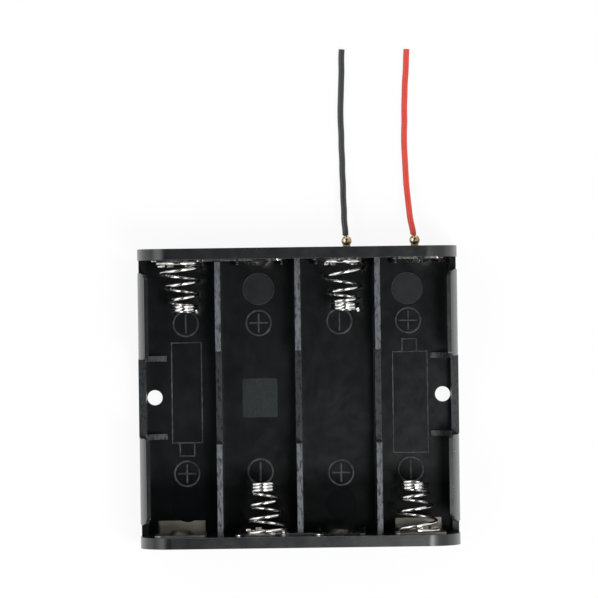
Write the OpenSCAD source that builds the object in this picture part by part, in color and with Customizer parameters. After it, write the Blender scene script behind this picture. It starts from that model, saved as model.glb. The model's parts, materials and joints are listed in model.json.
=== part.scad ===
// Flat holder for four cylindrical cells lying side by side, wired in series by its contacts.
// Origin: centre of the housing's underside. X runs across the bays, Y towards the leads, Z up.
// Bays are numbered 0 to 3 from -X to +X, and lengths are in millimetres.

/* [Cells] */
// Diameter of the cell that a bay takes
cell_d = 14.4; // [13.6:0.1:15.4]
// Length of the cell
cell_len = 50.5; // [46:0.1:54]
// Play of the cell across its bay
cell_play = 0.1; // [0.05:0.05:0.5]

/* [Housing] */
// Thickness of the floor
floor_t = 1.2; // [1:0.1:2]
// Thickness of the end walls
end_wall_t = 2.2; // [1.6:0.1:3]
// Height of the end walls
end_wall_h = 15.3; // [14:0.1:18]
// Radius of the end walls' upper corners
corner_r = 6.35; // [4:0.05:8]
// Thickness of a side arm beside the middle of the cell
side_wall_t = 0.6; // [0.5:0.05:1.5]
// Thickness of a partition at its top
partition_t = 1.1; // [0.9:0.05:1.6]
// Thickness that a partition gains down to the floor
partition_draft = 0.3; // [0:0.05:0.5]
// Height of a partition's end stretches
partition_h = 10.8; // [9:0.1:12.5]
// Height of a partition's middle stretch
partition_low_h = 6.8; // [4:0.1:8]
// Length of a partition's middle stretch
partition_low_len = 17.8; // [10:0.1:30]
// Run of the ramp between a partition's two heights
partition_ramp = 0.2; // [0.1:0.1:3]

/* [Snap arms] */
// Height of the snap arms
arm_h = 12.9; // [12:0.1:13.9]
// Clear length between the two arms of one side
arm_gap = 15.4; // [10:0.1:22]
// Width of the relief slot between an arm and the end wall
relief_w = 2.45; // [1:0.05:4]
// Height of the relief slot's foot
relief_z = 3.5; // [2:0.1:5]
// Radius of an arm's corner beside the relief slot
arm_outer_r = 1.5; // [0.5:0.1:3]
// Radius of an arm's corner beside the low wall
arm_inner_r = 0.7; // [0.2:0.1:2]
// Height of the low wall between the arms
low_wall_h = 5; // [3:0.1:6.5]
// Thickness of the low wall
low_wall_t = 1.5; // [1:0.1:2]
// How far the low wall stands out from the arms' outer faces
low_wall_proud = 0.2; // [0.05:0.05:0.5]

/* [Screw pockets] */
// Radius of the screw holes
screw_r = 1.5; // [1:0.05:2]
// Distance between a screw hole's edge and the low wall
screw_edge = 0.05; // [0.02:0.01:1]
// Thickness of the gussets at the pocket's two ends
gusset_t = 1.1; // [0.6:0.1:1.5]
// Reach of a gusset from the low wall
gusset_len = 4; // [2:0.1:5]

/* [Contacts] */
// Thickness of the contact metal
strip_t = 0.3; // [0.2:0.05:0.5]
// Play round the contact metal in its slots
strip_play = 0.05; // [0.02:0.01:0.1]
// Width of a contact plate
plate_w = 10; // [9.6:0.1:11]
// Height of a contact plate's top above the cell's axis
plate_rise = 4.4; // [4:0.1:4.8]
// Radius of a contact plate's upper corners
plate_corner_r = 1.2; // [0.4:0.1:2]
// Height of the cap pressed out for the cell's positive end
cap_h = 0.8; // [0.5:0.05:1.2]
// Diameter of the cap at its foot
cap_d = 6; // [4:0.1:7]
// Diameter of the cap's flat top
cap_top_d = 3.6; // [2:0.1:3.9]
// Height of the foot of the bridge that joins two plates
bridge_z = 5; // [4.6:0.1:6]
// Width of the bridge
bridge_w = 3.5; // [2:0.1:4]
// Width of a keeper post in front of a plate's foot
keeper_w = 1.2; // [0.8:0.1:1.5]
// Depth of a keeper post
keeper_t = 0.7; // [0.4:0.1:1]
// Height of the keeper posts above the floor
keeper_h = 3.2; // [2.8:0.1:3.4]

/* [Jumper] */
// Width of the leg of a plate that goes down through the floor
leg_w = 8.9; // [6:0.1:9.4]
// Width of the strip that runs under the floor
jumper_w = 3.4; // [2.8:0.1:4.5]
// Depth of the channel in the floor's underside
channel_d = 0.6; // [0.45:0.05:0.8]
// Play between the strip and the sides of its channel
channel_play = 0.3; // [0.1:0.05:0.6]
// Width of the floor's window over the strip, along the bay
window_len = 2.35; // [1:0.05:3]

/* [Springs] */
// Diameter of the spring wire
wire_d = 0.6; // [0.4:0.05:0.7]
// Outer diameter of a spring's base turn
spring_base_d = 9.2; // [7.6:0.1:9.6]
// Outer diameter of a spring's tip turns
spring_tip_d = 5.7; // [4.6:0.1:6.4]
// Free length of a spring, from its plate to its tip
spring_len = 10.2; // [8:0.1:12]
// Length of a spring pressed flat
spring_solid = 2.1; // [1.5:0.1:3]
// Turns of a spring that lie flat on its plate
base_turns = 0.75; // [0.7:0.05:0.75]
// Open turns of a spring
open_turns = 3; // [2:0.25:4]
// Closed turns at a spring's tip
tip_turns = 2.25; // [1:0.25:2.5]
// Gap between the closed turns at a spring's tip
coil_gap = 0.02; // [0.01:0.01:0.1]
// Width of the claws that hold a spring's base turn
claw_w = 1.2; // [0.8:0.1:1.4]

/* [Leads] */
// Diameter of a lead over its insulation
lead_d = 1.2; // [1:0.05:1.4]
// Diameter of a lead's bare strands
core_d = 0.7; // [0.4:0.05:0.8]
// Width of a solder tag
tag_w = 2; // [1.8:0.1:3]
// Width of a tag's neck, through the end wall
tag_neck_w = 1.5; // [1:0.1:1.8]
// Reach of a solder tag from the end wall
tag_len = 2.2; // [2.1:0.1:3]
// Height of a solder tag's underside
tag_z = 3.6; // [3.4:0.1:3.9]
// Diameter of the hole in a solder tag
tag_hole_d = 1.1; // [1:0.05:1.3]

/* [Hidden] */
// Every piece, in the order in which it is put together

// Bays: the last one's number, their width, their spacing and the height of the cells' axes
last_bay = 3;
bay_w = cell_d + cell_play;
bay_r = bay_w / 2;
pitch = bay_w + partition_t;
cell_z = floor_t + bay_r;
function bay_x(bay) = (bay - last_bay / 2) * pitch;

// Housing: half its width, the plates' front faces, the end walls' inner faces and half its length
half_w = bay_x(last_bay) + bay_r + side_wall_t;
plate_y = (cell_len + spring_solid + cap_h) / 2;
wall_y = plate_y + strip_t;
half_len = wall_y + end_wall_t;
low_wall_x = half_w + low_wall_proud - low_wall_t;
screw_x = low_wall_x - screw_edge - screw_r;
arm_y = wall_y - relief_w;

// Contacts
plate_top = cell_z + plate_rise;
link_top = bridge_z + bridge_w;
tag_y = half_len + tag_len - tag_w / 2;
jumper_z = channel_d - strip_t - strip_play;
window_w = leg_w + 8 * strip_play;
black_x = bay_x(2) + 2;
red_x = bay_x(last_bay) - 0.2;

// Springs: the end each stands at, the sideways place of its base turn and its tip from the
// middle of the bay, the share by which its pitch is greater at the base, and the turns from
// its start to where its wire is highest for the first time
spring_side = [1, -1, 1, -1];
base_shift = [0.3, 1, 1.1, -0.6];
tip_shift = [1.1, 0.5, 1.5, -1.1];
pitch_bias = [0, 0, 0.7, 0.4];
first_top = [0.25, 0.85, 0.25, 0];

// Angles of the claws along a base turn, from where it starts
claw_angles = [60, 150, 240];

// Smooth faces that no other piece depends on
join = 0.4;
arc_steps = 14;
turn_steps = 14;
wire_sides = 8;

// Points along a circular arc in a plane
function arc(centre, r, from, to, steps = arc_steps) =
    [for (i = [0:steps]) let (a = from + (to - from) * i / steps) centre + r * [cos(a), sin(a)]];

// An outline given for +X, with its mirror image, as one list of points
function both_sides(half) =
    concat(half, [for (i = [len(half) - 1:-1:0]) [-half[i][0], half[i][1]]]);

// Extrudes an outline drawn in X and Z along Y
module along_y(from, to) {
    translate([0, to, 0]) rotate([90, 0, 0]) linear_extrude(to - from) children();
}

// Extrudes an outline drawn in Y and Z along X
module along_x(from, to) {
    translate([from, 0, 0]) rotate([90, 0, 90]) linear_extrude(to - from) children();
}

// A box between two corners
module block(low, high) {
    translate(low) cube(high - low);
}

// Outline of an end wall, seen along the bays
module end_outline() {
    polygon(both_sides(concat(
        [[half_w, 0]],
        arc([half_w - corner_r, end_wall_h - corner_r], corner_r, 0, 90)
    )));
}

// Outline of a side, seen across the bays: two arms, the low wall and the two relief slots
module side_outline() {
    polygon(both_sides(concat(
        [[wall_y + join, 0], [wall_y + join, relief_z], [arm_y, relief_z]],
        arc([arm_y - arm_outer_r, arm_h - arm_outer_r], arm_outer_r, 0, 90, 6),
        arc([arm_gap / 2 + arm_inner_r, arm_h - arm_inner_r], arm_inner_r, 90, 180, 4),
        [[arm_gap / 2, low_wall_h]]
    )));
}

// Outline of a partition, seen across the bays
module partition_outline() {
    step_y = partition_low_len / 2;
    polygon(both_sides([
        [wall_y + join, 0],
        [wall_y + join, partition_h],
        [step_y + partition_ramp, partition_h],
        [step_y, partition_low_h],
    ]));
}

// Section of a partition, seen along the bays
module partition_section() {
    foot = partition_t / 2 + partition_draft / 2 * partition_h / (partition_h - floor_t);
    polygon(both_sides([[foot, 0], [partition_t / 2, partition_h]]));
}

// The +X side: arms that close over the outer cell, and the low wall between them
module side() {
    difference() {
        intersection() {
            along_y(-wall_y - join, wall_y + join) end_outline();
            along_x(bay_x(last_bay) + bay_r / 2, half_w + 1) side_outline();
        }
        translate([bay_x(last_bay), 0, cell_z])
            rotate([90, 0, 0]) cylinder(r = bay_r, h = 3 * wall_y, center = true, $fn = 128);
        block([0, -2 * wall_y, floor_t], [low_wall_x, 2 * wall_y, cell_z]);
    }
    block([half_w - join, -arm_gap / 2, 0], [half_w + low_wall_proud, arm_gap / 2, low_wall_h]);
}

// A gusset at an end of the screw pocket, its top following the cell
module gusset() {
    along_y(-gusset_t / 2, gusset_t / 2) difference() {
        translate([low_wall_x - gusset_len, floor_t - join])
            square([gusset_len + join, low_wall_h - floor_t + join]);
        translate([bay_x(last_bay), cell_z]) circle(r = bay_r, $fn = 128);
    }
}

// A pair of posts that hold the foot of a plate against the end wall at +Y
module keepers() {
    front = plate_y - strip_play;
    for (side = [-1, 1])
        translate([side * (plate_w - keeper_w) / 2, 0, 0])
            block(
                [-keeper_w / 2, front - keeper_t, floor_t - join],
                [keeper_w / 2, front, floor_t + keeper_h]
            );
}

// Room for the bridge of a link plate, through the end of the partition right of a bay
module bridge_slot(bay) {
    block(
        [bay_x(bay) + pitch / 2 - partition_t, plate_y - 3 * strip_play, bridge_z - strip_play],
        [bay_x(bay) + pitch / 2 + partition_t, wall_y, partition_h + 1]
    );
}

// Window in the floor over the jumper, and its channel underneath
module jumper_room() {
    for (bay = [0, last_bay])
        translate([bay_x(bay), 0, 0])
            block([-window_w / 2, -wall_y, -1], [window_w / 2, window_len - plate_y, floor_t + join]);
    reach = bay_x(last_bay) + leg_w / 2 + channel_play;
    block(
        [-reach, -wall_y - strip_play, -1],
        [reach, jumper_w + channel_play - wall_y, channel_d]
    );
}

// Slot in the end wall for a solder tag
module tag_slot(x) {
    block(
        [x - tag_w / 2 - strip_play, wall_y - 1, tag_z - strip_play],
        [x + tag_w / 2 + strip_play, half_len + 1, tag_z + strip_t + strip_play]
    );
}

module housing() {
    color("#1c1e1f") difference() {
        union() {
            block([-half_w, -wall_y - join, 0], [half_w, wall_y + join, floor_t]);
            for (turn = [0, 180])
                rotate([0, 0, turn]) {
                    along_y(wall_y, half_len) end_outline();
                    side();
                }
            for (turn = [0, 180], end = [-1, 1])
                rotate([0, 0, turn])
                    translate([0, end * arm_gap / 2, 0]) gusset();
            for (bay = [0:last_bay - 1])
                translate([bay_x(bay) + pitch / 2, 0, 0]) intersection() {
                    along_y(-wall_y - join, wall_y + join) partition_section();
                    along_x(-pitch / 2, pitch / 2) partition_outline();
                }
            for (bay = [0:last_bay]) translate([bay_x(bay), 0, 0]) keepers();
            for (bay = [1, 2]) translate([bay_x(bay), 0, 0]) rotate([0, 0, 180]) keepers();
        }
        for (x = [-screw_x, screw_x])
            translate([x, 0, -1]) cylinder(r = screw_r, h = floor_t + 2, $fn = 64);
        bridge_slot(0);
        rotate([0, 0, 180]) bridge_slot(1);
        jumper_room();
        tag_slot(black_x);
        tag_slot(red_x);
    }
}

// A plate standing against the end wall at +Y, from the height foot upwards
module plate(foot) {
    along_y(plate_y, wall_y) polygon(both_sides(concat(
        [[plate_w / 2, foot]],
        arc([plate_w / 2 - plate_corner_r, plate_top - plate_corner_r], plate_corner_r, 0, 90, 6)
    )));
}

// A plate with the cap for a positive end, pressed out of the metal
module cap_plate(foot) {
    module at_cap() translate([0, wall_y, cell_z]) rotate([90, 0, 0]) children();
    difference() {
        union() {
            plate(foot);
            at_cap() cylinder(d1 = cap_d + strip_t, d2 = cap_top_d, h = cap_h + strip_t, $fn = 64);
        }
        at_cap() translate([0, 0, -1]) cylinder(d = cap_d - 2 * strip_t, h = 1.01, $fn = 64);
        at_cap() cylinder(d1 = cap_d - 2 * strip_t, d2 = cap_top_d - strip_t, h = cap_h, $fn = 64);
    }
}

// A plate with three claws, cut out of it and bent over the base turn of a bay's spring
module spring_plate(foot, bay) {
    shift = spring_side[bay] * base_shift[bay];
    start = 90 - 360 * first_top[bay];
    claw_in = spring_base_d / 2 - wire_d - 4 * strip_play - strip_t;
    claw_h = wire_d + 3 * strip_play;
    window = claw_h + strip_t + wire_d;
    module at_claw(angle) {
        translate([shift, plate_y, cell_z]) rotate([90, 0, 0]) rotate([0, 0, angle])
            translate([claw_in, 0, 0]) children();
    }
    difference() {
        plate(foot);
        for (angle = claw_angles)
            at_claw(start + angle) block([-window, -claw_w / 2, -1], [0, claw_w / 2, 1]);
    }
    for (angle = claw_angles)
        at_claw(start + angle) {
            block([0, -claw_w / 2, -strip_t / 2], [strip_t, claw_w / 2, claw_h + strip_t]);
            block([0, -claw_w / 2, claw_h], [strip_t + wire_d, claw_w / 2, claw_h + strip_t]);
        }
}

// The bridge from the plate of a bay to the plate of the next one
module bridge(bay) {
    block(
        [bay_x(bay) + plate_w / 2 - join, plate_y, bridge_z],
        [bay_x(bay + 1) - plate_w / 2 + join, wall_y, link_top]
    );
}

// A solder tag, bent back from a plate's foot and led out through the end wall
module tag(x) {
    difference() {
        union() {
            block([x - tag_neck_w / 2, plate_y, tag_z], [x + tag_neck_w / 2, tag_y, tag_z + strip_t]);
            translate([x, tag_y, tag_z]) cylinder(d = tag_w, h = strip_t, $fn = 48);
        }
        translate([x, tag_y, tag_z - 1]) cylinder(d = tag_hole_d, h = strip_t + 2, $fn = 48);
    }
}

// The leg that takes a plate at -Y down to the strip under the floor
module leg() {
    block([-leg_w / 2, -wall_y, jumper_z], [leg_w / 2, -plate_y, floor_t + strip_t]);
}

// Joins the negative contact of bay 0 to the positive contact of bay 1, at +Y
module link_plate_front() {
    color("#b9bbb8") {
        translate([bay_x(0), 0, 0]) spring_plate(floor_t, 0);
        translate([bay_x(1), 0, 0]) cap_plate(floor_t);
        bridge(0);
    }
}

// Joins the negative contact of bay 1 to the positive contact of bay 2, at -Y
module link_plate_rear() {
    color("#b9bbb8") rotate([0, 0, 180]) {
        translate([bay_x(2), 0, 0]) spring_plate(floor_t, 1);
        translate([bay_x(1), 0, 0]) cap_plate(floor_t);
        bridge(1);
    }
}

// Joins the positive contact of bay 0 to the negative contact of bay 3, at -Y, under the floor
module jumper_plate() {
    reach = bay_x(last_bay) + leg_w / 2;
    color("#a39e92") {
        rotate([0, 0, 180]) {
            translate([bay_x(last_bay), 0, 0]) cap_plate(floor_t);
            translate([bay_x(0), 0, 0]) spring_plate(floor_t, last_bay);
        }
        for (bay = [0, last_bay]) translate([bay_x(bay), 0, 0]) leg();
        block([-reach, -wall_y, jumper_z], [reach, jumper_w - wall_y, jumper_z + strip_t]);
    }
}

module negative_terminal() {
    color("#b9bbb8") {
        translate([bay_x(2), 0, 0]) spring_plate(tag_z, 2);
        tag(black_x);
    }
}

module positive_terminal() {
    color("#b9bbb8") {
        translate([bay_x(last_bay), 0, 0]) cap_plate(tag_z);
        tag(red_x);
    }
}

function unit(v) = v / norm(v);

// Ring of points round one point of a path, square to the path
function ring(p, ahead, aside, r, sides) =
    let (t = unit(ahead), u = unit(aside - (aside * t) * t), v = cross(t, u))
    [for (i = [0:sides - 1]) let (a = 360 * i / sides) p + r * (cos(a) * u + sin(a) * v)];

// A round bar of radius r along a path, where asides holds a direction across each of its points
module round_bar(path, asides, r, sides) {
    last = len(path) - 1;
    points = [
        for (i = [0:last])
            each ring(path[i], path[min(i + 1, last)] - path[max(i - 1, 0)], asides[i], r, sides)
    ];
    polyhedron(
        points,
        concat(
            [[for (k = [0:sides - 1]) k]],
            [[for (k = [sides - 1:-1:0]) last * sides + k]],
            [
                for (i = [0:last - 1], k = [0:sides - 1])
                    let (next = (k + 1) % sides, at = i * sides, over = at + sides)
                    each [[at + k, over + k, over + next], [at + k, over + next, at + next]]
            ]
        )
    );
}

// Share of a spring's climb that is done at a number of turns from its start
function climb(turns, bias) =
    let (share = min(max((turns - base_turns) / open_turns, 0), 1))
    share * (1 + bias * (1 - share));

// A spring of one bay: a base turn on the plate, open turns of a cone and closed turns at the tip
module spring(bay) {
    side = spring_side[bay];
    coil = wire_d + coil_gap;
    low = strip_play + wire_d / 2;
    high = spring_len - wire_d / 2 - tip_turns * coil;
    base_r = (spring_base_d - wire_d) / 2;
    tip_r = (spring_tip_d - wire_d) / 2;
    all_turns = base_turns + open_turns + tip_turns;
    steps = round(all_turns * turn_steps);
    turns = [for (i = [0:steps]) all_turns * i / steps];
    angles = [for (t = turns) 360 * (t - first_top[bay])];
    asides = [for (a = angles) [-side * sin(a), 0, cos(a)]];
    path = [
        for (i = [0:steps])
            let (
                share = climb(turns[i], pitch_bias[bay]),
                closed = max(turns[i] - base_turns - open_turns, 0),
                rise = low + (high - low) * share + closed * coil,
                shift = base_shift[bay] + (tip_shift[bay] - base_shift[bay]) * share,
                r = base_r + (tip_r - base_r) * share
            )
            [bay_x(bay) + shift, side * (plate_y - rise), cell_z] + r * asides[i]
    ];
    color("#d8d9d6") round_bar(path, asides, wire_d / 2, wire_sides);
}

// Height of the axis of a lead's strands over its tag, and of a lead lying on the ground
core_z = tag_z + strip_t + core_d / 2 + 2 * strip_play;
ground_z = lead_d / 2 + 0.01;

// Where the insulation of each lead begins
lead_y = half_len + tag_len + 0.1;

// Routes of the leads on the ground: along Y from where the insulation begins, across X and up
black_route = [
    [-0.2, 0, core_z], [-0.2, 0.8, core_z], [-0.4, 3, 3.8], [-0.4, 5, 3.1], [-0.5, 7.5, 2],
    [-0.5, 10, 1.1], [-0.6, 12.5, 0.7], [-0.6, 15, ground_z], [-0.7, 17.5, ground_z],
    [-0.7, 20, ground_z], [-0.8, 22.5, ground_z], [-0.8, 25, ground_z], [-0.7, 27.5, ground_z],
    [-0.6, 30, ground_z], [-0.5, 32.5, ground_z], [-0.5, 35, ground_z], [-0.4, 36.8, ground_z],
];
red_route = [
    [-0.3, 0, core_z], [-0.3, 0.6, core_z], [-0.8, 3.2, 3.8], [-1, 5.2, 3.1], [-1.2, 7.5, 2],
    [-1.4, 10, 1.1], [-1.5, 12.5, 0.7], [-1.6, 15, ground_z], [-1.7, 17.5, ground_z],
    [-1.7, 20, ground_z], [-1.6, 22.5, ground_z], [-1.6, 25, ground_z], [-1.5, 27.5, ground_z],
    [-1.4, 30, ground_z], [-1.2, 32.5, ground_z], [-1.1, 35, ground_z], [-1, 36.7, ground_z],
];

module lead(x, route) {
    path = [for (p = route) [x, lead_y, 0] + p];
    round_bar(path, [for (p = path) [1, 0, 0]], lead_d / 2, 8);
}

module black_lead() {
    color("#222325") lead(black_x, black_route);
}

module red_lead() {
    color("#d8452f") lead(red_x, red_route);
}

// Bare strands of a lead: over the tag, then down through its hole
module core(x, route) {
    aside = route[0].x;
    path = [
        [x + aside, lead_y, core_z],
        [x + aside, tag_y + 0.7, core_z],
        [x, tag_y + 0.3, core_z - 0.1],
        [x, tag_y + 0.05, core_z - 0.4],
        [x, tag_y, core_z - 0.8],
        [x, tag_y, tag_z - 0.4],
    ];
    color("#c49a5a") round_bar(path, [for (p = path) [1, 0, 0]], core_d / 2, 8);
}

module black_core() {
    core(black_x, black_route);
}

module red_core() {
    core(red_x, red_route);
}

// Solder that fills a tag's hole and domes over it on both sides
module solder(x) {
    hole_r = tag_hole_d / 2;
    color("#c9b489") translate([x, tag_y, 0]) rotate_extrude($fn = 48) polygon([
        [0, tag_z - 0.3],
        [hole_r - 0.1, tag_z - 0.2],
        [hole_r + 0.15, tag_z],
        [hole_r, tag_z],
        [hole_r, tag_z + strip_t],
        [hole_r + 0.3, tag_z + strip_t],
        [hole_r + 0.15, core_z],
        [core_d / 2, core_z + core_d / 2 + 0.1],
        [0, core_z + core_d / 2 + 0.15],
    ]);
}

module black_solder() {
    solder(black_x);
}

module red_solder() {
    solder(red_x);
}

housing();
link_plate_front();
link_plate_rear();
jumper_plate();
negative_terminal();
positive_terminal();
spring(0);  // spring_1
spring(1);  // spring_2
spring(2);  // spring_3
spring(3);  // spring_4
black_core();
red_core();
black_solder();
red_solder();
black_lead();
red_lead();
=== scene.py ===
import json
import math

import bmesh
import bpy
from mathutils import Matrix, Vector


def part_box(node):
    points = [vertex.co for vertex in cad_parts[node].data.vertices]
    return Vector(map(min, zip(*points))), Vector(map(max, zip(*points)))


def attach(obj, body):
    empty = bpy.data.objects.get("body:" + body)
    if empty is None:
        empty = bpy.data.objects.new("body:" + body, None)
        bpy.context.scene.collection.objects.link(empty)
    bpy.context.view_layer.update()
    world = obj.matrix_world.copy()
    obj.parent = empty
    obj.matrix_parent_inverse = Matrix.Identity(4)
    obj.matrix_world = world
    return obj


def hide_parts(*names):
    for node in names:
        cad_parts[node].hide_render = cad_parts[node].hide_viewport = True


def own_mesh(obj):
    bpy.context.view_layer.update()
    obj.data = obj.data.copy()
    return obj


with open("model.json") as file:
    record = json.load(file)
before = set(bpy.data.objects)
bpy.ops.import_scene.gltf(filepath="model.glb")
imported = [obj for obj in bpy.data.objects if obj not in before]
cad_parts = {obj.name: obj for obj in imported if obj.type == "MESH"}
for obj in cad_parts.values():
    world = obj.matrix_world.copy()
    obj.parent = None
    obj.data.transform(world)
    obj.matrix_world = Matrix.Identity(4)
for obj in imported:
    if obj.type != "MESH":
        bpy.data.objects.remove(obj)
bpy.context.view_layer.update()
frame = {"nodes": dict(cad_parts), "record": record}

MM = 0.001
scene = bpy.context.scene


# ---------------------------------------------------------------------------
# Places, from the frame
# ---------------------------------------------------------------------------

def mount_place(name):
    """Place of a mount of the record, in metres."""
    return Vector(next(m["pos_m"] for m in frame["record"]["mounts"] if m["name"] == name))


BAYS = range(4)
bay_x = [mount_place(f"cell_seat_{bay + 1}").x for bay in BAYS]
cell_z = mount_place("cell_seat_1").z
half_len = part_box("housing")[1].y
floor_top = 1.2 * MM
strip_t = 0.3 * MM
plate_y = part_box("link_plate_front")[1].y - strip_t


# ---------------------------------------------------------------------------
# Camera
# ---------------------------------------------------------------------------

camera_place = (0.3 * MM, 19.11 * MM, 800 * MM)
camera_turn = -0.78
camera_lens = 243.5


def make_camera():
    """The camera looks straight down on the open side, from over the half nearer the leads."""
    data = bpy.data.cameras.new("camera")
    camera = bpy.data.objects.new("camera", data)
    scene.collection.objects.link(camera)
    camera.location = camera_place
    camera.rotation_euler = (0, 0, math.radians(camera_turn))
    data.sensor_width = 36
    data.lens = camera_lens
    data.clip_start = 0.01
    data.clip_end = 10
    scene.camera = camera


# ---------------------------------------------------------------------------
# Node helpers
# ---------------------------------------------------------------------------

def add_node(tree, kind, inputs=None, **settings):
    """A node with its settings and its inputs, which are values or other nodes' outputs."""
    node = tree.nodes.new(kind)
    for name, value in settings.items():
        setattr(node, name, value)
    for name, value in (inputs or {}).items():
        socket = node.inputs[name]
        if isinstance(value, bpy.types.NodeSocket):
            tree.links.new(value, socket)
        else:
            socket.default_value = value
    return node


def new_material(name, colour, roughness, metallic=0.0, **sockets):
    """A material with one shader, whose plain values are set on the shader's own sockets."""
    material = bpy.data.materials.new(name)
    material.use_nodes = True
    tree = material.node_tree
    shader = tree.nodes["Principled BSDF"]
    shader.inputs["Base Color"].default_value = (*colour, 1)
    shader.inputs["Roughness"].default_value = roughness
    shader.inputs["Metallic"].default_value = metallic
    for socket, value in sockets.items():
        shader.inputs[socket.replace("_", " ")].default_value = value
    material.diffuse_color = (*colour, 1)
    return material, tree, shader


def object_place(tree):
    """The place of a point on the object."""
    return add_node(tree, "ShaderNodeTexCoord").outputs["Object"]


def axes(tree, vector):
    """The X, Y and Z of a vector."""
    return add_node(tree, "ShaderNodeSeparateXYZ", {"Vector": vector}).outputs


def upward(tree):
    """How far a face looks up: 1 where it is level, 0 where it stands upright."""
    return axes(tree, add_node(tree, "ShaderNodeNewGeometry").outputs["Normal"])["Z"]


def stretched(tree, place, scale):
    """A place scaled along the axes, to draw a pattern out."""
    return add_node(tree, "ShaderNodeMapping", {"Vector": place, "Scale": scale}).outputs["Vector"]


def noise(tree, place, scale, detail=3.0, roughness=0.5):
    """Noise of so many cells to the metre."""
    inputs = {"Vector": place, "Scale": scale, "Detail": detail, "Roughness": roughness}
    return add_node(tree, "ShaderNodeTexNoise", inputs).outputs["Fac"]


def remap(tree, value, low_in, high_in, low_out, high_out):
    """Carries a value from one range to another, kept within it."""
    inputs = {
        "Value": value, "From Min": low_in, "From Max": high_in,
        "To Min": low_out, "To Max": high_out,
    }
    return add_node(tree, "ShaderNodeMapRange", inputs).outputs["Result"]


def rise(tree, value, start, end):
    """0 up to a start, and 1 from an end on."""
    return remap(tree, value, start, end, 0.0, 1.0)


def fall(tree, value, start, end):
    """1 up to a start, and 0 from an end on."""
    return remap(tree, value, start, end, 1.0, 0.0)


def maths(tree, operation, a, b=0.0):
    """One operation on a value or two."""
    node = add_node(tree, "ShaderNodeMath", operation=operation)
    for socket, value in zip(node.inputs, (a, b)):
        if isinstance(value, bpy.types.NodeSocket):
            tree.links.new(value, socket)
        else:
            socket.default_value = value
    return node.outputs["Value"]


def product(tree, *values):
    """Two or more values multiplied together."""
    result = values[0]
    for value in values[1:]:
        result = maths(tree, "MULTIPLY", result, value)
    return result


def total(tree, a, b):
    """Two values added together."""
    return maths(tree, "ADD", a, b)


def larger(tree, a, b):
    """The larger of two values."""
    return maths(tree, "MAXIMUM", a, b)


def rest_of(tree, share):
    """What a share leaves of 1."""
    return maths(tree, "SUBTRACT", 1.0, share)


def between(tree, value, start, end, soft):
    """1 where a value lies between two bounds, 0 outside them, with soft ends."""
    return product(tree, rise(tree, value, start - soft, start), fall(tree, value, end, end + soft))


def mix_colour(tree, share, a, b):
    """A colour between a and b."""
    node = add_node(tree, "ShaderNodeMix", data_type="RGBA")
    for socket, value in zip((node.inputs[0], node.inputs[6], node.inputs[7]), (share, a, b)):
        if isinstance(value, bpy.types.NodeSocket):
            tree.links.new(value, socket)
        else:
            socket.default_value = value if isinstance(value, float) else (*value, 1)
    return node.outputs[2]


def drive(tree, shader, socket, value):
    """Gives a socket of the shader a value that changes over the surface."""
    tree.links.new(value, shader.inputs[socket])


def bump(tree, shader, height, distance, strength):
    """Dents and bumps so many metres high."""
    inputs = {"Height": height, "Distance": distance, "Strength": strength}
    drive(tree, shader, "Normal", add_node(tree, "ShaderNodeBump", inputs).outputs["Normal"])


# ---------------------------------------------------------------------------
# Materials
# ---------------------------------------------------------------------------

# Where changes in the plastic's look start and end.
flank_x = (28.6 * MM, 28.8 * MM)
arm_foot_z = (5.2 * MM, 5.4 * MM)
end_wall_y = (27 * MM, 27.1 * MM)
low_rim_z = (4.5 * MM, 4.7 * MM)
tall_rim_z = (7 * MM, 10.5 * MM)
# Painted shade: the -Y ends of the floors are darkened as the end wall's shadow.
shaded_end_y = (-18 * MM, -13 * MM)
shaded_end_z = (1.3 * MM, 2 * MM)
gusset_foot_z = (1.25 * MM, 1.35 * MM)
print_painted_light_y = (-10 * MM, 10 * MM)
# The sides of the patches that have a look of their own.
rim_step_y = (8.8 * MM, 9.2 * MM)
gusset_x = (25.8 * MM, 30 * MM)
gusset_y = (7.1 * MM, 8.3 * MM)
keeper_y = (25.9 * MM, 26.7 * MM)
keeper_z = (4.1 * MM, 4.43 * MM)
jumper_end_x = (24 * MM, 29.4 * MM)
jumper_end_y = (-27.5 * MM, -22.5 * MM)
patch_soft = 0.05 * MM
keeper_soft = 0.03 * MM

# Greys of the rims: wear with a painted highlight, lighter on the tall rims and gussets than on the low
# ones.
scuffed_and_lit_grey = (0.094, 0.106, 0.119)
rubbed_and_lit_black = (0.016, 0.02, 0.024)
# The colour of the painted shade.
painted_shade_black = (0.0025, 0.003, 0.0032)


def worn_and_lit_rims(tree, spots, up, inside, gusset):
    """1 on the tops and steps of the partitions and low walls, and the gussets' own share, where the rims
    are greyed by wear and by a painted highlight.
    """
    along = maths(tree, "ABSOLUTE", spots["Y"])
    step = between(tree, along, *rim_step_y, patch_soft)
    top = larger(tree, rise(tree, up, 0.5, 0.9), step)
    return larger(tree, product(tree, top, rise(tree, spots["Z"], *low_rim_z), inside), gusset)


def gusset_tops(tree, spots, up):
    """1 on the tops of the gussets, and less on those towards +X."""
    along = maths(tree, "ABSOLUTE", spots["Y"])
    across = maths(tree, "ABSOLUTE", spots["X"])
    return product(
        tree, between(tree, along, *gusset_y, patch_soft), between(tree, across, *gusset_x, patch_soft),
        rise(tree, spots["Z"], *gusset_foot_z), rise(tree, up, 0.2, 0.3),
        remap(tree, spots["X"], -1 * MM, 1 * MM, 1.0, 0.6),
    )


def scuff_streaks(tree, place, tall):
    """Wear in streaks along the bays, which also break up the painted highlight on the rims, with more
    contrast on the tall rims.
    """
    streaks = noise(tree, stretched(tree, place, (1.0, 0.3, 1.0)), 3000.0, 5.0, 0.6)
    light = remap(tree, streaks, 0.36, 0.6, 0.15, 0.75)
    heavy = remap(tree, streaks, 0.36, 0.56, 0.1, 1.0)
    return larger(tree, light, product(tree, tall, heavy))


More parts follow.
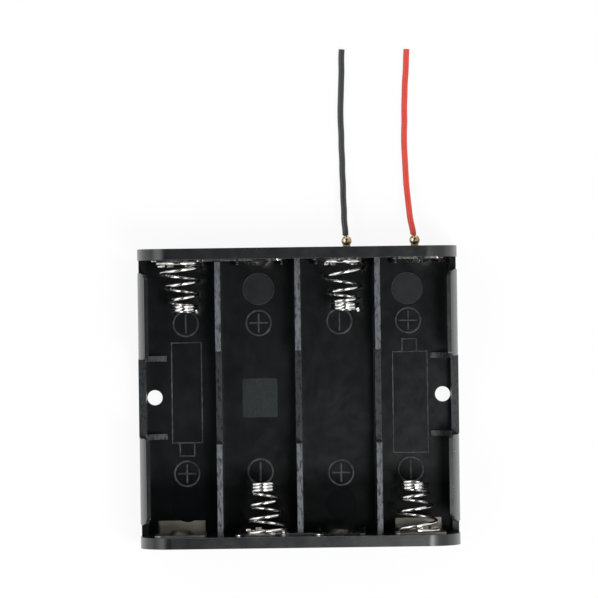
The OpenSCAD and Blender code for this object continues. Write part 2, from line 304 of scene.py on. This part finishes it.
def painted_shade_patches(tree, spots):
    """1 where shade is painted: on the -Y ends of the floors, in the end wall's shadow, and on the keepers
    at the feet of the plates.
    """
    ends = product(tree, fall(tree, spots["Y"], *shaded_end_y), fall(tree, spots["Z"], *shaded_end_z))
    along = maths(tree, "ABSOLUTE", spots["Y"])
    keepers = product(
        tree, between(tree, along, *keeper_y, keeper_soft), between(tree, spots["Z"], *keeper_z, patch_soft),
    )
    return larger(tree, ends, keepers)


def moulded_black():
    """Black moulded plastic: glossy outside, and grey on the rims inside from scuffs and a painted
    highlight, with painted shade on the -Y ends of the floors and a painted reflection on the outer
    roundings.
    """
    material, tree, shader = new_material("moulded_black", (0.005, 0.006, 0.0065), 0.36)
    place = object_place(tree)
    spots = axes(tree, place)
    up = upward(tree)
    flank = rise(tree, maths(tree, "ABSOLUTE", spots["X"]), *flank_x)
    arm = product(tree, flank, rise(tree, spots["Z"], *arm_foot_z))
    inside = fall(tree, maths(tree, "ABSOLUTE", spots["Y"]), *end_wall_y)
    outside = larger(tree, arm, rest_of(tree, inside))
    tall = rise(tree, spots["Z"], *tall_rim_z)
    gusset = gusset_tops(tree, spots, up)
    rim = product(tree, worn_and_lit_rims(tree, spots, up, inside, gusset), rest_of(tree, arm))
    scuff_and_highlight = product(tree, rim, scuff_streaks(tree, place, tall))
    # Painted shade on the -Y ends of the floors and on the keepers.
    dark = painted_shade_patches(tree, spots)

    clouds = noise(tree, place, 180.0, 4.0)
    body = mix_colour(tree, clouds, (0.004, 0.005, 0.0055), (0.007, 0.008, 0.0085))
    body = mix_colour(tree, dark, body, painted_shade_black)
    # Painted highlight and wear: the up-facing rims and steps are greyed.
    worn_and_lit = mix_colour(tree, larger(tree, tall, gusset), rubbed_and_lit_black, scuffed_and_lit_grey)
    drive(tree, shader, "Base Color", mix_colour(tree, scuff_and_highlight, body, worn_and_lit))

    gloss = remap(tree, noise(tree, place, 420.0, 5.0), 0.3, 0.7, 0.17, 0.23)
    gloss = total(tree, gloss, product(tree, outside, 0.05))
    drive(tree, shader, "Roughness", total(tree, gloss, product(tree, scuff_and_highlight, 0.26)))

    # Painted reflection: the IOR is raised on the outer roundings of the arms and end walls, so that they
    # reflect more and look pale.
    rounding = product(tree, rise(tree, up, 0.02, 0.14), fall(tree, up, 0.4, 0.75), flank, outside)
    # The painted shade also reflects less, with a lower IOR.
    index = larger(tree, remap(tree, dark, 0.0, 1.0, 1.4, 1.2), product(tree, outside, 1.55))
    drive(tree, shader, "IOR", total(tree, index, product(tree, rounding, 0.8)))

    grain = product(tree, noise(tree, place, 9000.0, 2.0), 0.25)
    bump(tree, shader, total(tree, grain, noise(tree, place, 900.0, 2.0)), 0.02 * MM, 0.35)
    return material


def etched_black():
    """The same plastic where the mould was etched to a matt grey."""
    material, tree, shader = new_material("etched_black", (0.02, 0.025, 0.027), 0.37, IOR=1.25)
    speckle = rise(tree, noise(tree, object_place(tree), 5000.0, 4.0, 0.7), 0.35, 0.65)
    grey = mix_colour(tree, speckle, (0.006, 0.0085, 0.009), (0.021, 0.027, 0.028))
    drive(tree, shader, "Base Color", grey)
    bump(tree, shader, speckle, 0.02 * MM, 0.6)
    return material


def rib_black_highlighted():
    """The same plastic on the low ribs of the marks, which are dull, and greyed as a painted highlight of
    the light that the ribs catch.
    """
    material, tree, shader = new_material("rib_black_highlighted", (0.025, 0.028, 0.03), 0.42, IOR=1.4)
    clouds = rise(tree, noise(tree, object_place(tree), 900.0, 4.0), 0.38, 0.62)
    # Painted highlight: the ribs are lighter than the floor all over.
    grey = mix_colour(tree, clouds, (0.012, 0.014, 0.015), (0.045, 0.051, 0.055))
    drive(tree, shader, "Base Color", grey)
    return material


def pin_print():
    """The same plastic in the prints of the ejector pins: duller and mottled, and paler towards +Y, with
    painted shade darkening the -Y prints.
    """
    material, tree, shader = new_material("pin_print", (0.01, 0.012, 0.013), 0.3)
    place = object_place(tree)
    # Painted shade: the prints towards -Y are darker and reflect less.
    pale = rise(tree, axes(tree, place)["Y"], *print_painted_light_y)
    mottled = product(tree, pale, remap(tree, noise(tree, place, 500.0), 0.3, 0.7, 0.5, 1.0))
    grey = mix_colour(tree, mottled, (0.003, 0.0035, 0.004), (0.013, 0.016, 0.018))
    drive(tree, shader, "Base Color", grey)
    drive(tree, shader, "Roughness", remap(tree, pale, 0.0, 1.0, 0.17, 0.27))
    drive(tree, shader, "IOR", remap(tree, pale, 0.0, 1.0, 1.2, 1.4))
    return material


def plated_strip():
    """Nickel-plated strip: darkened in patches on its top edges by painted shade that dulls their
    highlights, and browned by flux outside the wall.
    """
    nickel = (0.66, 0.645, 0.61)
    stained_y = (half_len - 0.3 * MM, half_len + 0.2 * MM)
    top_edge_z = (11 * MM, 11.5 * MM)
    cap_z = (7 * MM, 13 * MM)
    material, tree, shader = new_material("plated_strip", nickel, 0.16, 1.0)
    place = object_place(tree)
    spots = axes(tree, place)
    up = upward(tree)
    flux = remap(tree, noise(tree, place, 1700.0, 3.0), 0.3, 0.7, 0.55, 1.0)
    stain = product(tree, rise(tree, spots["Y"], *stained_y), flux)
    patches = rise(tree, noise(tree, place, 420.0, 2.0), 0.46, 0.54)
    # Painted shade: patches of the up-facing top edges are darkened so that they show no highlight.
    painted_dark_edges = product(tree, rise(tree, up, 0.1, 0.4), rise(tree, spots["Z"], *top_edge_z), patches)
    slope = product(
        tree, between(tree, up, 0.3, 0.75, 0.1), between(tree, spots["Z"], *cap_z, 0.1 * MM),
    )

    metal = mix_colour(tree, painted_dark_edges, nickel, (0.1, 0.098, 0.092))
    drive(tree, shader, "Base Color", mix_colour(tree, stain, metal, (0.55, 0.4, 0.2)))
    rolled = noise(tree, place, 2500.0, 4.0)
    gloss = remap(tree, rolled, 0.3, 0.7, 0.12, 0.24)
    gloss = total(tree, gloss, product(tree, slope, 0.06))
    drive(tree, shader, "Roughness", total(tree, gloss, product(tree, stain, 0.3)))
    bump(tree, shader, rolled, 0.004 * MM, 0.6)
    return material


def dull_tin():
    """Dull tinned strip of the jumper, with rolling marks along X."""
    material, tree, shader = new_material("dull_tin", (0.24, 0.225, 0.19), 0.42, 1.0)
    rolled = noise(tree, stretched(tree, object_place(tree), (0.25, 3.0, 1.0)), 1500.0, 5.0)
    grey = mix_colour(tree, rolled, (0.19, 0.175, 0.145), (0.3, 0.285, 0.245))
    drive(tree, shader, "Base Color", grey)
    drive(tree, shader, "Roughness", remap(tree, rolled, 0.3, 0.7, 0.3, 0.46))
    bump(tree, shader, rolled, 0.01 * MM, 0.5)
    return material


def bright_wire():
    """Bright nickel-plated spring wire, with fine drawing marks."""
    material, tree, shader = new_material("bright_wire", (0.76, 0.755, 0.74), 0.14, 1.0)
    marks = noise(tree, object_place(tree), 5200.0, 3.0)
    drive(tree, shader, "Roughness", remap(tree, marks, 0.3, 0.7, 0.1, 0.18))
    bump(tree, shader, marks, 0.003 * MM, 0.25)
    return material


def copper_strands():
    """Tinned copper strands, warm where the tin is thin."""
    material, tree, shader = new_material("copper_strands", (0.72, 0.5, 0.28), 0.3, 1.0)
    tin = rise(tree, noise(tree, object_place(tree), 2200.0, 3.0), 0.35, 0.65)
    drive(tree, shader, "Base Color", mix_colour(tree, tin, (0.7, 0.45, 0.22), (0.74, 0.66, 0.5)))
    return material


def fluxed_solder():
    """Solder with a skin of amber flux."""
    material, tree, shader = new_material("fluxed_solder", (0.7, 0.6, 0.36), 0.24, 1.0)
    skin = rise(tree, noise(tree, object_place(tree), 1300.0, 4.0), 0.38, 0.62)
    drive(tree, shader, "Base Color", mix_colour(tree, skin, (0.78, 0.71, 0.52), (0.4, 0.22, 0.06)))
    bump(tree, shader, skin, 0.02 * MM, 0.5)
    return material


def insulation(name, colour, dark):
    """Extruded lead insulation, with a satin skin and faint draw lines."""
    material, tree, shader = new_material(name, colour, 0.34)
    place = object_place(tree)
    drive(tree, shader, "Base Color", mix_colour(tree, noise(tree, place, 300.0), colour, dark))
    skin = noise(tree, stretched(tree, place, (1.0, 0.04, 1.0)), 6000.0, 2.0)
    drive(tree, shader, "Roughness", remap(tree, skin, 0.3, 0.7, 0.28, 0.4))
    bump(tree, shader, skin, 0.006 * MM, 0.5)
    return material


def pale_floor():
    """Floor that the camera and reflections see as white, with the object's shadow on it.

    It doesn't glow under the jumper's ends, so that the gaps there are in shadow.
    """
    glow_share = 0.9
    material = bpy.data.materials.new("pale_floor")
    material.use_nodes = True
    tree = material.node_tree
    tree.nodes.clear()
    path = add_node(tree, "ShaderNodeLightPath").outputs
    seen = larger(tree, path["Is Camera Ray"], path["Is Glossy Ray"])
    seen = larger(tree, seen, path["Is Transmission Ray"])
    lit = add_node(tree, "ShaderNodeBsdfDiffuse", {"Color": (0.82, 0.82, 0.82, 1)}).outputs["BSDF"]
    white = {"Color": (1, 1, 1, 1), "Strength": 1.0}
    glow = add_node(tree, "ShaderNodeEmission", white).outputs["Emission"]
    spots = axes(tree, object_place(tree))
    across = maths(tree, "ABSOLUTE", spots["X"])
    covered = product(
        tree, between(tree, across, *jumper_end_x, 0.1 * MM),
        between(tree, spots["Y"], *jumper_end_y, 0.1 * MM),
    )
    share = product(tree, seen, glow_share, rest_of(tree, covered))
    mixed = add_node(tree, "ShaderNodeMixShader", {0: share, 1: lit, 2: glow}).outputs["Shader"]
    add_node(tree, "ShaderNodeOutputMaterial", {"Surface": mixed})
    return material


# ---------------------------------------------------------------------------
# Building
# ---------------------------------------------------------------------------

weld_gap = 0.001 * MM
flat_angle = 0.6


def new_piece(name, mesh, material, body="holder"):
    """A mesh as a piece of the object, on its body."""
    piece = bpy.data.objects.new(name, mesh)
    scene.collection.objects.link(piece)
    mesh.materials.clear()
    mesh.materials.append(material)
    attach(piece, body)
    return piece


def apply_modifiers(piece):
    """Turns a piece with its modifiers into a plain mesh."""
    shape = piece.evaluated_get(bpy.context.evaluated_depsgraph_get())
    mesh = bpy.data.meshes.new_from_object(shape)
    piece.modifiers.clear()
    piece.data = mesh
    return piece


def sweep_tree():
    """Sweeps a closed oval along chains of edges: wires, strands and the ribs on the floor."""
    tree = bpy.data.node_groups.new("sweep", "GeometryNodeTree")
    face = tree.interface
    face.new_socket("Path", in_out="INPUT", socket_type="NodeSocketGeometry")
    face.new_socket("Width", in_out="INPUT", socket_type="NodeSocketFloat")
    face.new_socket("Height", in_out="INPUT", socket_type="NodeSocketFloat")
    face.new_socket("Sides", in_out="INPUT", socket_type="NodeSocketInt")
    face.new_socket("Material", in_out="INPUT", socket_type="NodeSocketMaterial")
    face.new_socket("Geometry", in_out="OUTPUT", socket_type="NodeSocketGeometry")
    given = tree.nodes.new("NodeGroupInput").outputs
    curve = add_node(tree, "GeometryNodeMeshToCurve", {"Mesh": given["Path"]}).outputs["Curve"]
    upright = add_node(tree, "GeometryNodeSetCurveNormal", {"Curve": curve}, mode="Z_UP").outputs["Curve"]
    oval = add_node(tree, "GeometryNodeCurvePrimitiveCircle", {"Resolution": given["Sides"], "Radius": 0.5})
    extent = add_node(tree, "ShaderNodeCombineXYZ", {"X": given["Width"], "Y": given["Height"], "Z": 1.0})
    inputs = {"Geometry": oval.outputs["Curve"], "Scale": extent.outputs["Vector"]}
    profile = add_node(tree, "GeometryNodeTransform", inputs).outputs["Geometry"]
    inputs = {"Curve": upright, "Profile Curve": profile, "Fill Caps": True}
    swept = add_node(tree, "GeometryNodeCurveToMesh", inputs).outputs["Mesh"]
    smooth = add_node(tree, "GeometryNodeSetShadeSmooth", {"Geometry": swept}).outputs["Geometry"]
    real = add_node(tree, "GeometryNodeRealizeInstances", {"Geometry": smooth}).outputs["Geometry"]
    inputs = {"Geometry": real, "Material": given["Material"]}
    done = add_node(tree, "GeometryNodeSetMaterial", inputs).outputs["Geometry"]
    tree.links.new(done, tree.nodes.new("NodeGroupOutput").inputs["Geometry"])
    return tree


def chain_mesh(name, chains):
    """A mesh of edge chains. Each chain is its points, and whether it is closed."""
    points = []
    edges = []
    for chain, closed in chains:
        first = len(points)
        points.extend(chain)
        edges.extend((i, i + 1) for i in range(first, len(points) - 1))
        if closed:
            edges.append((len(points) - 1, first))
    mesh = bpy.data.meshes.new(name)
    mesh.from_pydata([tuple(p) for p in points], edges, [])
    return mesh


def sweep(name, chains, width, height, sides, material, body="holder"):
    """A piece swept along chains of points."""
    piece = bpy.data.objects.new(name, chain_mesh(name, chains))
    scene.collection.objects.link(piece)
    modifier = piece.modifiers.new("sweep", "NODES")
    modifier.node_group = SWEEP
    values = {"Width": width, "Height": height, "Sides": sides, "Material": material}
    for item in SWEEP.interface.items_tree:
        if item.name in values and item.in_out == "INPUT":
            modifier[item.identifier] = values[item.name]
    apply_modifiers(piece)
    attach(piece, body)
    return piece


def curve_point(a, b, c, d, t):
    """A point between b and c on a smooth curve through a, b, c and d."""
    squared = (2 * a - 5 * b + 4 * c - d) * t ** 2
    cubed = (3 * b - a - 3 * c + d) * t ** 3
    return ((2 * b) + (c - a) * t + squared + cubed) / 2


def smooth_route(points, per_span):
    """Points of a smooth curve through the given ones."""
    route = []
    last = len(points) - 1
    for i in range(last):
        a, b = points[max(i - 1, 0)], points[i]
        c, d = points[i + 1], points[min(i + 2, last)]
        route.extend(curve_point(a, b, c, d, step / per_span) for step in range(per_span))
    route.append(points[last])
    return route


def turning(a, b, corner):
    """Angle in degrees between two edges that meet at a corner, 0 where one carries the other on."""
    one = corner.co - a.other_vert(corner).co
    two = b.other_vert(corner).co - corner.co
    return math.degrees(one.angle(two, 0.0))


def has_room(edge, width):
    """Whether the edges that turn off from an edge's ends are long enough for its rounding."""
    turn_off = 40
    room = 2.1 * width
    for corner in edge.verts:
        for other in corner.link_edges:
            if other != edge and turning(edge, other, corner) > turn_off and other.calc_length() < room:
                return False
    return True


def finished_mesh(name, shape):
    """The mesh of a shape that has been built."""
    mesh = bpy.data.meshes.new(name)
    shape.to_mesh(mesh)
    shape.free()
    return mesh


def close_rings(shape, rings):
    """Closes rings of corners, one above another, into a solid."""
    for lower, upper in zip(rings, rings[1:]):
        for i in range(len(lower)):
            j = (i + 1) % len(lower)
            shape.faces.new((lower[i], lower[j], upper[j], upper[i]))
    shape.faces.new(rings[-1])
    shape.faces.new(reversed(rings[0]))


def softened(node, name, width, material, corner_angle=28):
    """Stands for a CAD node: its own mesh, welded, with the sharp edges rounded."""
    mesh = frame["nodes"][node].data.copy()
    shape = bmesh.new()
    shape.from_mesh(mesh)
    bmesh.ops.remove_doubles(shape, verts=shape.verts, dist=weld_gap)
    bmesh.ops.dissolve_limit(
        shape, angle_limit=math.radians(flat_angle), use_dissolve_boundaries=False,
        verts=shape.verts, edges=shape.edges, delimit={"NORMAL"},
    )
    weight = shape.edges.layers.float.new("bevel_weight_edge")
    for edge in shape.edges:
        if edge.calc_face_angle(0.0) > math.radians(corner_angle) and has_room(edge, width):
            edge[weight] = 1
    shape.to_mesh(mesh)
    shape.free()
    piece = new_piece(name, mesh, material)
    bevel = piece.modifiers.new("rounding", "BEVEL")
    bevel.width = width
    bevel.segments = 2
    bevel.limit_method = "WEIGHT"
    bevel.use_clamp_overlap = True
    bevel.miter_outer = "MITER_SHARP"
    bevel.harden_normals = False
    apply_modifiers(piece)
    for face in piece.data.polygons:
        face.use_smooth = True
    piece.data.set_sharp_from_angle(angle=math.radians(corner_angle))
    normals = piece.modifiers.new("normals", "WEIGHTED_NORMAL")
    normals.keep_sharp = True
    apply_modifiers(piece)
    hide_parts(node)
    return piece


# ---------------------------------------------------------------------------
# Leads
# ---------------------------------------------------------------------------

# Sizes in mm.
lead_d = 1.2
lead_sides = 20
core_z = 4.35
tag_z = 3.6
tag_y = 30.4
lead_y = 31.5
strand_count = 6
strand_d = 0.23
cut_strand_d = 0.22
strand_sides = 8
stub_in = 0.6
stub_out = 0.04
ground_z = lead_d / 2 + 0.01
black_x = 9.8
red_x = 23.2
# The balls that melt into a joint: radius, place beyond the tag's hole, height, and squashing.
solder_balls = ((0.82, 0, 4.1, 0.62), (0.5, 0.55, 4.3, 0.8), (0.55, 0, 3.5, 0.5))
# Middle lines of the leads: places beside the lead's x, beyond lead_y and above the ground.
black_route = [
    [-0.2, 0, core_z], [-0.2, 0.8, core_z], [-0.4, 3, 3.8], [-0.4, 5, 3.1], [-0.5, 7.5, 2],
    [-0.5, 10, 1.1], [-0.6, 12.5, 0.7], [-0.6, 15, ground_z], [-0.7, 17.5, ground_z],
    [-0.7, 20, ground_z], [-0.8, 22.5, ground_z], [-0.8, 25, ground_z], [-0.7, 27.5, ground_z],
    [-0.6, 30, ground_z], [-0.5, 32.5, ground_z], [-0.5, 35, ground_z], [-0.4, 36.8, ground_z],
]
red_route = [
    [-0.3, 0, core_z], [-0.3, 0.6, core_z], [-0.8, 3.2, 3.8], [-1, 5.2, 3.1], [-1.2, 7.5, 2],
    [-1.4, 10, 1.1], [-1.5, 12.5, 0.7], [-1.6, 15, ground_z], [-1.7, 17.5, ground_z],
    [-1.7, 20, ground_z], [-1.6, 22.5, ground_z], [-1.6, 25, ground_z], [-1.5, 27.5, ground_z],
    [-1.4, 30, ground_z], [-1.2, 32.5, ground_z], [-1.1, 35, ground_z], [-1, 36.7, ground_z],
]


def make_lead(name, x, route, material):
    """A lead's insulation, with the strands at both ends and the solder on its tag."""
    points = [Vector((x + p[0], lead_y + p[1], p[2])) * MM for p in route]
    path = smooth_route(points, 5)
    chains = [(path, False)]
    lead = sweep(f"{name}_insulation", chains, lead_d * MM, lead_d * MM, lead_sides, material)
    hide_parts(f"{name}_lead")
    strands = make_strands(name, x, route[0][0])
    end = make_cut_end(name, path)
    make_solder(name, x)


def twisted(path, count, ring_r, turns):
    """A path with the paths of strands twisted round it."""
    chains = [(path, False)]
    across = Vector((1, 0, 0))
    for strand in range(count):
        chain = []
        for i, p in enumerate(path):
            along = (path[min(i + 1, len(path) - 1)] - path[max(i - 1, 0)]).normalized()
            side = (across - across.dot(along) * along).normalized()
            angle = 2 * math.pi * (strand / count + turns * i / (len(path) - 1))
            chain.append(p + ring_r * (math.cos(angle) * side + math.sin(angle) * along.cross(side)))
        chains.append((chain, False))
    return chains


def make_strands(name, x, aside):
    """The bare strands, over the tag and down through its hole."""
    points = [
        Vector(p) * MM for p in (
            (x + aside, lead_y, core_z), (x + aside, tag_y + 0.7, core_z), (x, tag_y + 0.3, core_z - 0.1),
            (x, tag_y + 0.05, core_z - 0.4), (x, tag_y, core_z - 0.8), (x, tag_y, tag_z - 0.4),
        )
    ]
    chains = twisted(smooth_route(points, 4), strand_count, strand_d * MM, 0.6)
    wide = strand_d * MM
    strands = sweep(f"{name}_strands", chains, wide, wide, strand_sides, COPPER)
    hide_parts(f"{name}_core")
    return strands


def make_cut_end(name, path):
    """The strands that show at the lead's cut end."""
    along = (path[-1] - path[-2]).normalized()
    stub = [path[-1] - along * stub_in * MM, path[-1] + along * stub_out * MM]
    chains = twisted(stub, strand_count, strand_d * MM, 0.05)
    wide = cut_strand_d * MM
    return sweep(f"{name}_cut_end", chains, wide, wide, strand_sides, COPPER)


def make_solder(name, x):
    """A blob of solder over the tag's hole and along the strands, melted from three balls."""
    shape = bmesh.new()
    for radius, y, z, squashing in solder_balls:
        made = bmesh.ops.create_icosphere(shape, subdivisions=4, radius=radius * MM)
        for vertex in made["verts"]:
            vertex.co.z *= squashing
            vertex.co += Vector((x, tag_y + y, z)) * MM
    joint = new_piece(f"{name}_joint", finished_mesh(f"{name}_joint", shape), SOLDER)
    melt = joint.modifiers.new("melt", "REMESH")
    melt.mode = "VOXEL"
    melt.voxel_size = 0.05 * MM
    flow = joint.modifiers.new("flow", "SMOOTH")
    flow.factor = 0.6
    flow.iterations = 12
    apply_modifiers(joint)
    joint.data.materials.clear()
    joint.data.materials.append(SOLDER)
    for face in joint.data.polygons:
        face.use_smooth = True
    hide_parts(f"{name}_solder")


# ---------------------------------------------------------------------------
# Springs
# ---------------------------------------------------------------------------

# Sizes in mm. The lists have a value for each bay's spring.
wire_d = 0.6
coil_gap = 0.02
strip_play = 0.05
spring_base_d = 9.2
spring_tip_d = 5.7
spring_len = 10.2
base_turns = 0.75
open_turns = 3
tip_turns = 2.25
spring_side = [1, -1, 1, -1]
base_shift = [0.3, 1, 1.1, -0.6]
tip_shift = [1.1, 0.5, 1.5, -1.1]
pitch_bias = [0, 0, 0.7, 0.4]
first_top = [0.25, 0.85, 0.25, 0]
turn_steps = 48
wire_sides = 16


def spring_path(bay):
    """The middle line of a spring's wire: base turn, open turns of a cone and closed turns."""
    side = spring_side[bay]
    coil = wire_d + coil_gap
    low_reach = strip_play + wire_d / 2
    high_reach = spring_len - wire_d / 2 - tip_turns * coil
    base_r = (spring_base_d - wire_d) / 2
    tip_r = (spring_tip_d - wire_d) / 2
    all_turns = base_turns + open_turns + tip_turns
    steps = round(all_turns * turn_steps)
    path = []
    for step in range(steps + 1):
        turns = all_turns * step / steps
        share = min(max((turns - base_turns) / open_turns, 0), 1)
        share *= 1 + pitch_bias[bay] * (1 - share)
        closed = max(turns - base_turns - open_turns, 0)
        reach = low_reach + (high_reach - low_reach) * share + closed * coil
        shift = base_shift[bay] + (tip_shift[bay] - base_shift[bay]) * share
        r = base_r + (tip_r - base_r) * share
        angle = 2 * math.pi * (turns - first_top[bay])
        path.append(Vector((
            bay_x[bay] + (shift - side * r * math.sin(angle)) * MM,
            side * (plate_y - reach * MM),
            cell_z + r * math.cos(angle) * MM,
        )))
    return path


def make_spring(bay):
    """A spring's wire, from a wide base at its plate to closed turns at its tip, on a body of its own."""
    name = f"spring_{bay + 1}"
    path = spring_path(bay)
    wire = sweep(
        f"{name}_wire", [(path, False)], wire_d * MM, wire_d * MM, wire_sides, BRIGHT,
        f"{name}_coil",
    )
    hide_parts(name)
    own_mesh(wire)


# ---------------------------------------------------------------------------
# Marks on the floors of the bays
# ---------------------------------------------------------------------------

# Sizes in mm.
rib_w = 0.42
rib_h = 0.2
rib_z = 1.2
rib_sides = 8
sign_r = 2.45
minus_half = 1.85
plus_half = 1.8
foot_z = floor_top / MM - 0.1
disc_r = 3.05
disc_top = 1.23
disc_edge = 0.03
disc_sides = 64
disc_rim_r = 3.08
disc_rim_w = 0.13
disc_rim_h = 0.1
pad_x = (-11.1, -4.2)
pad_y = (-4.15, 3.55)
pad_r = 0.5
pad_top = 1.27


def rib_point(x, y):
    """A point on a bay's floor, on the middle line of a rib."""
    return Vector((x, y, rib_z)) * MM


def circle(x, y, r, steps=48):
    """A closed ring of points on the floor."""
    turns = [2 * math.pi * i / steps for i in range(steps)]
    return [rib_point(x + r * math.cos(t), y + r * math.sin(t)) for t in turns], True


def stroke(*points):
    """An open row of points on the floor."""
    return [rib_point(*p) for p in points], False


def sign(x, y, positive):
    """A polarity sign in its ring: a bar along the bay, crossed on a positive one."""
    bars = [stroke((x, y - minus_half), (x, y + minus_half))]
    if positive:
        bars.append(stroke((x - plus_half, y), (x + plus_half, y)))
    return [circle(x, y, sign_r), *bars]


def cell_outline(x0, x1, y0, y1, nub_x0, nub_x1, nub_y):
    """The outline of a cell lying in its bay, with the nub of its positive end."""
    near = y0 if nub_y < y0 else y1
    far = y1 if nub_y < y0 else y0
    body = [rib_point(*p) for p in ((x0, near), (x0, far), (x1, far), (x1, near))]
    nub = stroke((nub_x0, near), (nub_x0, nub_y), (nub_x1, nub_y), (nub_x1, near))
    return [(body, True), nub]


def make_marks():
    """Polarity signs and cell outlines, raised from the floor."""
    chains = []
    for x, y, positive in (
        (-22.15, 14.5, False), (-22.25, -15.1, True), (-7.75, 14.5, True), (-7.75, -14.85, False),
        (8.2, 14.65, False), (8.15, -15.25, True), (21.75, 14.65, True), (21.9, -14.85, False),
    ):
        chains.extend(sign(x, y, positive))
    chains.extend(cell_outline(-25.05, -19.1, -9, 10.8, -23.6, -20.7, -11.6))
    chains.extend(cell_outline(18.55, 25.45, -11.45, 8.5, 20.45, 23.4, 11))
    sweep("floor_marks", chains, rib_w * MM, rib_h * MM, rib_sides, RIB_HIGHLIGHTED)


def disc_mesh(name, centres):
    """Low discs on the floor, with a chamfered rim."""
    shape = bmesh.new()
    for x, y in centres:
        rings = []
        for r, z in ((disc_r, foot_z), (disc_r, disc_top - disc_edge), (disc_r - disc_edge, disc_top)):
            turns = [2 * math.pi * i / disc_sides for i in range(disc_sides)]
            spots = [Vector((x + r * math.cos(t), y + r * math.sin(t), z)) * MM for t in turns]
            rings.append([shape.verts.new(p) for p in spots])
        close_rings(shape, rings)
    return finished_mesh(name, shape)


def make_ejector_discs():
    """The prints of the mould's ejector pins, the +Y ones with a raised rim."""
    centres = ((-22.25, -21.6), (-7.7, 21.2), (8.2, -21.5), (21.65, 20.95))
    new_piece("ejector_prints", disc_mesh("ejector_prints", centres), PRINT)
    rims = [circle(x, y, disc_rim_r, disc_sides) for x, y in centres if y > 0]
    sweep("print_rims", rims, disc_rim_w * MM, disc_rim_h * MM, rib_sides, RIB_HIGHLIGHTED)


def make_pad():
    """A bare etched pad in the second bay, its corners rounded."""
    x0, x1, y0, y1 = pad_x[0] + pad_r, pad_x[1] - pad_r, pad_y[0] + pad_r, pad_y[1] - pad_r
    outline = []
    for cx, cy, start in ((x1, y1, 0), (x0, y1, 90), (x0, y0, 180), (x1, y0, 270)):
        for step in range(9):
            angle = math.radians(start + 90 * step / 8)
            outline.append((cx + pad_r * math.cos(angle), cy + pad_r * math.sin(angle)))
    shape = bmesh.new()
    lower, upper = (
        [shape.verts.new(Vector((x, y, z)) * MM) for x, y in outline] for z in (foot_z, pad_top)
    )
    close_rings(shape, [lower, upper])
    new_piece("etched_pad", finished_mesh("etched_pad", shape), ETCHED)


# ---------------------------------------------------------------------------
# Floor, lamps and world
# ---------------------------------------------------------------------------

floor_half = 1.2
floor_z = -0.02 * MM
gap_centre = -0.14
gap_edge = (0.24, 0.34)
gap_light = 0.05
side_light = 0.9
horizon = (0.2, 0.34)
horizon_light = 1.6


def make_floor():
    """A wide floor under the object."""
    mesh = bpy.data.meshes.new("floor")
    half = floor_half
    corners = [(-half, -half, 0), (half, -half, 0), (half, half, 0), (-half, half, 0)]
    mesh.from_pydata(corners, [], [(0, 1, 2, 3)])
    mesh.materials.append(pale_floor())
    floor = bpy.data.objects.new("floor", mesh)
    scene.collection.objects.link(floor)
    floor.location.z = floor_z


def make_lamp(name, place, width, depth, power):
    """A soft box that faces the object."""
    data = bpy.data.lights.new(name, "AREA")
    data.shape = "RECTANGLE"
    data.size = width
    data.size_y = depth
    data.energy = power
    lamp = bpy.data.objects.new(name, data)
    scene.collection.objects.link(lamp)
    lamp.location = place
    lamp.rotation_euler = (-Vector(place)).to_track_quat("-Z", "Y").to_euler()


def make_world():
    """A studio with a dark gap overhead, pale sides and horizon, and white where the camera sees it."""
    world = bpy.data.worlds.new("studio")
    scene.world = world
    world.use_nodes = True
    tree = world.node_tree
    tree.nodes.clear()
    way = axes(tree, add_node(tree, "ShaderNodeTexCoord").outputs["Generated"])
    across = maths(tree, "ABSOLUTE", maths(tree, "SUBTRACT", way["X"], gap_centre))
    sides = remap(tree, across, *gap_edge, gap_light, side_light)
    strength = larger(tree, sides, remap(tree, way["Z"], *horizon, horizon_light, 0.0))
    camera_ray = add_node(tree, "ShaderNodeLightPath").outputs["Is Camera Ray"]
    strength = total(tree, product(tree, strength, rest_of(tree, camera_ray)), camera_ray)
    studio = add_node(tree, "ShaderNodeBackground", {"Color": (1, 1, 1, 1), "Strength": strength})
    add_node(tree, "ShaderNodeOutputWorld", {"Surface": studio.outputs["Background"]})


def make_lights():
    """A small strong soft box at +X and a wide one at -X, with the world's dark gap between them."""
    make_world()
    make_lamp("right_box", place=(0.165, -0.15, 0.44), width=0.13, depth=0.24, power=1.5)
    make_lamp("left_box", place=(-0.31, 0.16, 0.4), width=0.53, depth=0.26, power=0.87)


# ---------------------------------------------------------------------------
# The holder
# ---------------------------------------------------------------------------

make_camera()
SWEEP = sweep_tree()
COPPER = copper_strands()
SOLDER = fluxed_solder()
black_skin = insulation("black_skin", (0.02, 0.021, 0.023), (0.012, 0.013, 0.014))
make_lead("black", black_x, black_route, black_skin)
red_skin = insulation("red_skin", (0.6, 0.042, 0.02), (0.5, 0.03, 0.016))
make_lead("red", red_x, red_route, red_skin)

PLASTIC = moulded_black()
ETCHED = etched_black()
RIB_HIGHLIGHTED = rib_black_highlighted()
PRINT = pin_print()
PLATED = plated_strip()
TINNED = dull_tin()
BRIGHT = bright_wire()
tray_round = 0.14 * MM
strip_round = 0.05 * MM
strip_corner = 35
softened("housing", "tray", tray_round, PLASTIC)
for node in ("link_plate_front", "link_plate_rear", "negative_terminal", "positive_terminal"):
    softened(node, f"{node}_strip", strip_round, PLATED, strip_corner)
softened("jumper_plate", "jumper_strip", strip_round, TINNED, strip_corner)
for bay in BAYS:
    make_spring(bay)
make_marks()
make_ejector_discs()
make_pad()
make_floor()
make_lights()

scene.view_settings.view_transform = "Standard"
